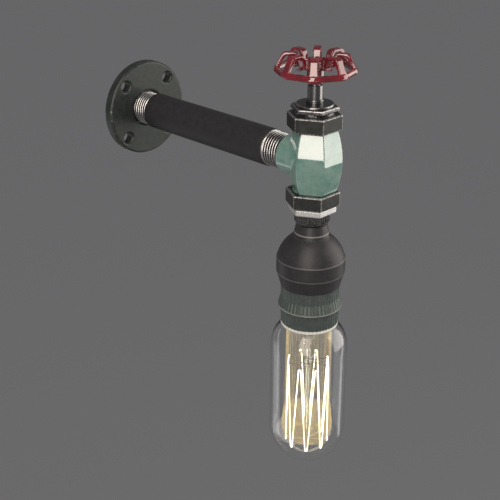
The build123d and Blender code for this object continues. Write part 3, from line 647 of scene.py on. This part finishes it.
def casting(node, voxel_mm, passes):
    """The node's own form in small even faces, smoothed so that its edges are rounded."""
    mesh = nodes[node].data.copy()
    mesh.materials.clear()
    edit = bmesh.new()
    edit.from_mesh(mesh)
    bmesh.ops.remove_doubles(edit, verts=edit.verts, dist=0.001 * MM)
    edit.to_mesh(mesh)
    edit.free()
    rough = link_mesh(node + "_rough", mesh)
    remesh = rough.modifiers.new("even faces", "REMESH")
    remesh.mode = "VOXEL"
    remesh.voxel_size = voxel_mm * MM
    smooth = rough.modifiers.new("rounded edges", "SMOOTH")
    smooth.factor = 0.5
    smooth.iterations = passes
    graph = bpy.context.evaluated_depsgraph_get()
    finished = bpy.data.meshes.new_from_object(rough.evaluated_get(graph))
    bpy.data.objects.remove(rough)
    for face in finished.polygons:
        face.use_smooth = True
    finished.materials.clear()
    stand_for(link_mesh(node + "_casting", finished), node)


def castings():
    casting("handwheel", voxel_mm=0.28, passes=14)
    casting("valve_body", voxel_mm=0.32, passes=4)
    for fitting in ("bonnet_nut", "outlet_nut", "bonnet", "outlet_bushing"):
        casting(fitting, voxel_mm=0.22, passes=2)
    casting("wall_flange", voxel_mm=0.35, passes=3)


# ================================================================ turned pieces and threads


def lathe_mesh(name, rows, segments, place, closed=True):
    """Surface of revolution; each row is a function of the angle that gives (radius, height).

    place turns radius, angle and height into a point. A closed one joins its last row to its first."""
    mesh = bpy.data.meshes.new(name)
    points = []
    for row in rows:
        for step in range(segments):
            angle = 2 * math.pi * step / segments
            radius, height = row(angle)
            points.append(place(radius, angle, height))
    faces = []
    count = len(rows)
    for index in range(count if closed else count - 1):
        below = index * segments
        above = (index + 1) % count * segments
        for step in range(segments):
            after = (step + 1) % segments
            faces.append((below + step, below + after, above + after, above + step))
    mesh.from_pydata(points, [], faces)
    edit = bmesh.new()
    edit.from_mesh(mesh)
    bmesh.ops.recalc_face_normals(edit, faces=edit.faces)
    edit.to_mesh(mesh)
    edit.free()
    for face in mesh.polygons:
        face.use_smooth = True
    return mesh


def plain_row(radius, height):
    return lambda angle: (radius, height)


def thread_height(turns):
    """Rounded ridge: 1 on the crest, 0 in the groove."""
    return 0.5 + 0.5 * math.cos(2 * math.pi * (turns % 1.0))


def thread_rows(start, end, pitch, crest, depth, rows_per_turn=9):
    """Rows of a helical thread from start to end; its ridges fade to a quarter over the last turns."""
    count = max(2, round(abs(end - start) / pitch * rows_per_turn))
    rows = []
    for number in range(count + 1):
        height = start + (end - start) * number / count
        turns_to_end = min(abs(height - start), abs(end - height)) / pitch
        fade = min(1.0, 0.25 + turns_to_end)

        def row(angle, height=height, fade=fade):
            ridge = thread_height(height / pitch - angle / (2 * math.pi))
            return crest - depth * fade * (1 - ridge), height

        rows.append(row)
    return rows


def along_pipe(radius, angle, height):
    """Pipe coordinates: height runs from the wall outwards along -Y."""
    return (radius * math.cos(angle), -height, radius * math.sin(angle))


def at_valve(radius, angle, height):
    """Upright coordinates round the axis of the valve, the socket and the bulb."""
    return (radius * math.cos(angle), VALVE_Y + radius * math.sin(angle), height)


def spread_rows(radius, start, end):
    """Rows of a plain wall between its two ends, which other rows make."""
    step = (end - start) / PIPE_SPANS
    return [plain_row(radius, start + step * number) for number in range(1, PIPE_SPANS)]


def rounded_end(end, inwards):
    """Three rows of the black skin's rounded end, from the end face to the skin; inwards is 1 or -1."""
    corner = PIPE_EDGE * PIPE_EDGE_ROUNDNESS
    return [
        plain_row(PIPE_SKIN_R - PIPE_EDGE, end),
        plain_row(PIPE_SKIN_R - corner, end + inwards * corner),
        plain_row(PIPE_SKIN_R, end + inwards * PIPE_EDGE),
    ]


def threaded_pipe():
    """The arm: a black skin between two threaded ends, with its bore."""
    low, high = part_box("pipe_nipple")
    back, front = -high[1], -low[1]
    bore = PIPE_SKIN_R - PIPE_WALL
    root = PIPE_THREAD_CREST - PIPE_THREAD_DEPTH
    skin_back = back + WALL_THREAD_L
    skin_front = skin_back + BLACK_L
    rows = [plain_row(bore, back), plain_row(root, back)]
    rows += thread_rows(back, skin_back, PIPE_PITCH, PIPE_THREAD_CREST, PIPE_THREAD_DEPTH)
    rows += rounded_end(skin_back, 1)
    rows += spread_rows(PIPE_SKIN_R, skin_back + PIPE_EDGE, skin_front - PIPE_EDGE)
    rows += reversed(rounded_end(skin_front, -1))
    rows += thread_rows(skin_front, front, PIPE_PITCH, PIPE_THREAD_CREST, PIPE_THREAD_DEPTH)
    rows += [plain_row(root, front), plain_row(bore, front)]
    rows += spread_rows(bore, front, back)
    mesh = lathe_mesh("threaded_pipe", rows, THREAD_SEGMENTS, along_pipe)
    mesh.materials.append(MATERIALS["black_pipe"])
    mesh.materials.append(MATERIALS["cut_thread"])
    for face in mesh.polygons:
        place = -face.center.y
        outside = math.hypot(face.center.x, face.center.z) > bore + 0.1 * MM
        face.material_index = 1 if outside and not skin_back <= place <= skin_front else 0
    stand_for(link_mesh("threaded_pipe", mesh), "pipe_nipple")


def lamp_screw_cap():
    """Rolled sheet-brass screw cap of the bulb."""
    low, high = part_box("bulb_cap")
    bottom, top = low[2], high[2]
    radius = high[0]
    core = radius - LAMP_THREAD_DEPTH
    wall = 0.3 * MM
    skirt_h = 1.5 * MM
    thread_bottom = bottom + 3.4 * MM
    thread_top = top - 2.2 * MM
    cone_foot_z = top - 1.2 * MM
    cone_top_r = 9.6 * MM
    outside = [plain_row(core, bottom), plain_row(core, bottom + skirt_h)]
    outside += thread_rows(
        thread_bottom, thread_top, LAMP_PITCH, radius, LAMP_THREAD_DEPTH, LAMP_ROWS_PER_TURN
    )
    outside += [plain_row(core - wall, cone_foot_z), plain_row(cone_top_r, top)]
    inside = []
    for row in reversed(outside):
        inside.append(lambda angle, row=row: (row(angle)[0] - wall, row(angle)[1]))
    mesh = lathe_mesh("lamp_screw_cap", outside + inside, THREAD_SEGMENTS, at_valve)
    stand_for(link_mesh("lamp_screw_cap", mesh), "bulb_cap")


def socket_screw_shell():
    """Rolled brass shell in the socket that the bulb screws into."""
    low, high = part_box("screw_shell")
    bottom, top = low[2], high[2]
    radius = high[0]
    wall = 0.4 * MM
    inner = radius - wall
    hole_r = 9.5 * MM
    thread_bottom = bottom + 1.0 * MM
    thread_top = top - 3.0 * MM
    thread_depth = 0.3 * MM
    inside = [plain_row(inner, bottom)]
    inside += thread_rows(thread_bottom, thread_top, LAMP_PITCH, inner, thread_depth, LAMP_ROWS_PER_TURN)
    inside += [plain_row(inner, top - wall), plain_row(hole_r, top - wall)]
    outside = [plain_row(hole_r, top), plain_row(radius, top), plain_row(radius, bottom)]
    mesh = lathe_mesh("socket_screw_shell", inside + outside, THREAD_SEGMENTS, at_valve)
    stand_for(link_mesh("socket_screw_shell", mesh), "screw_shell")


def painted_glow_radius(z):
    """Straight above, bellied below, and drawn in again towards the hooks."""
    if z < PAINTED_GLOW_BELLY_Z:
        fall = (PAINTED_GLOW_BELLY_Z - z) / (PAINTED_GLOW_BELLY_Z - PAINTED_GLOW_END_Z)
        return PAINTED_GLOW_BELLY_R * math.sqrt(1 - PAINTED_GLOW_END_SLIMMING * fall**2)
    swell = math.cos(0.5 * math.pi * min(1.0, (z - PAINTED_GLOW_BELLY_Z) / PAINTED_GLOW_BELLY_H))
    return PAINTED_GLOW_R + (PAINTED_GLOW_BELLY_R - PAINTED_GLOW_R) * swell


def filament_haze():
    """Painted glow round the lit filament: a thin emitting bell from the socket's rim to the lower hooks.
    """
    bell_top = PAINTED_GLOW_BELLY_Z + PAINTED_GLOW_BELLY_H
    rows = [plain_row(PAINTED_GLOW_R, PAINTED_GLOW_TOP)]
    for number in range(PAINTED_GLOW_STEPS + 1):
        z = bell_top - (bell_top - PAINTED_GLOW_END_Z) * number / PAINTED_GLOW_STEPS
        rows.append(plain_row(painted_glow_radius(z), z))
    mesh = lathe_mesh("filament_haze", rows, PAINTED_GLOW_SEGMENTS, at_valve, closed=False)
    mesh.materials.append(MATERIALS["filament_haze"])
    piece = link_mesh("filament_haze", mesh)
    piece.visible_shadow = False
    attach(piece, "bulb")


# ================================================================ stage, lamps and camera

FLOOR_Z = -0.9
FLOOR_HALF = 12.0
FLOOR_COLOUR = (0.5, 0.5, 0.5)
# The rest of the floor's look is its lit surface, which keeps a trace of the object's shadow.
FLOOR_GLOW_SHARE = 0.9
BACKGROUND = (0.127, 0.125, 0.129)
WORLD_LIGHT = (0.36, 0.36, 0.37)
LAMP_DISTANCE = 1.3
LIGHT_CENTRE = Vector((0.0, VALVE_Y, 0.0))

CAMERA_PLACE = (-0.40827, -0.50561, 0.19373)
CAMERA_TURN = (65.59, 0.0, -44.91)
LENS = 76.66


def seen_background(tree):
    """1 for rays that show the background: from the camera, and through metal and glass."""
    path = tree.nodes.new("ShaderNodeLightPath")
    shown = calculate(tree, "MAXIMUM", path.outputs["Is Camera Ray"], path.outputs["Is Transmission Ray"])
    return calculate(tree, "MAXIMUM", shown, path.outputs["Is Glossy Ray"])


def floor():
    mesh = bpy.data.meshes.new("floor")
    corners = [(-1, -1), (1, -1), (1, 1), (-1, 1)]
    points = [(FLOOR_HALF * x, FLOOR_HALF * y, FLOOR_Z) for x, y in corners]
    mesh.from_pydata(points, [], [(0, 1, 2, 3)])
    piece = link_mesh("floor", mesh)
    material, tree, shader = new_material("floor")
    shader.inputs["Base Color"].default_value = (*FLOOR_COLOUR, 1)
    shader.inputs["Roughness"].default_value = 0.9
    glow = tree.nodes.new("ShaderNodeEmission")
    glow.inputs["Color"].default_value = (*BACKGROUND, 1)
    blend = tree.nodes.new("ShaderNodeMixShader")
    share = calculate(tree, "MULTIPLY", seen_background(tree), FLOOR_GLOW_SHARE)
    tree.links.new(share, blend.inputs["Fac"])
    tree.links.new(shader.outputs["BSDF"], blend.inputs[1])
    tree.links.new(glow.outputs["Emission"], blend.inputs[2])
    tree.links.new(blend.outputs["Shader"], tree.nodes["Material Output"].inputs["Surface"])
    mesh.materials.append(material)


def sky():
    world = bpy.data.worlds.new("studio")
    world.use_nodes = True
    tree = world.node_tree
    background = tree.nodes["Background"]
    colour = mix(tree, seen_background(tree), WORLD_LIGHT, BACKGROUND)
    tree.links.new(colour, background.inputs["Color"])
    background.inputs["Strength"].default_value = 1.0
    bpy.context.scene.world = world


def soft_lamp(name, azimuth, elevation, size, brightness, colour=(1, 1, 1)):
    """Rectangular soft box; the angles say where it is seen from the valve, brightness is its radiance."""
    turn, rise = math.radians(azimuth), math.radians(elevation)
    towards = Vector((math.cos(turn) * math.cos(rise), math.sin(turn) * math.cos(rise), math.sin(rise)))
    data = bpy.data.lights.new(name, "AREA")
    data.shape = "RECTANGLE"
    data.size, data.size_y = size
    data.energy = brightness * math.pi * size[0] * size[1]
    data.color = colour
    lamp = bpy.data.objects.new(name, data)
    lamp.location = LIGHT_CENTRE + towards * LAMP_DISTANCE
    lamp.rotation_euler = (-towards).to_track_quat("-Z", "Y").to_euler()
    bpy.context.collection.objects.link(lamp)


def lamps():
    """A tall box at the front left, a broad one at the right, and two low strips that streak the bulb."""
    soft_lamp(
        "front_box",
        azimuth=-150.5,
        elevation=29.5,
        size=(0.72, 2.2),
        brightness=3.3,
        colour=(1.0, 0.90, 0.81),
    )
    soft_lamp(
        "right_box",
        azimuth=-33.0,
        elevation=12.0,
        size=(1.30, 1.60),
        brightness=2.2,
        colour=(1.0, 0.94, 0.86),
    )
    soft_lamp("low_right_strip", azimuth=-20.0, elevation=-30.0, size=(0.24, 0.60), brightness=1.0)
    soft_lamp("low_left_strip", azimuth=112.0, elevation=-30.0, size=(0.60, 0.60), brightness=0.55)


def camera():
    data = bpy.data.cameras.new("camera")
    data.sensor_width = 36.0
    data.lens = LENS
    data.clip_start = 0.01
    piece = bpy.data.objects.new("camera", data)
    piece.location = CAMERA_PLACE
    piece.rotation_euler = [math.radians(turn) for turn in CAMERA_TURN]
    bpy.context.collection.objects.link(piece)
    bpy.context.scene.camera = piece


# ================================================================ the whole scene

fixture_metals()
enamels()
socket_coats()
inner_parts()
bulb_parts()
dress_nodes()
filament_haze()
castings()
threaded_pipe()
lamp_screw_cap()
socket_screw_shell()
floor()
sky()
lamps()
camera()
bpy.context.scene.view_settings.view_transform = "Standard"
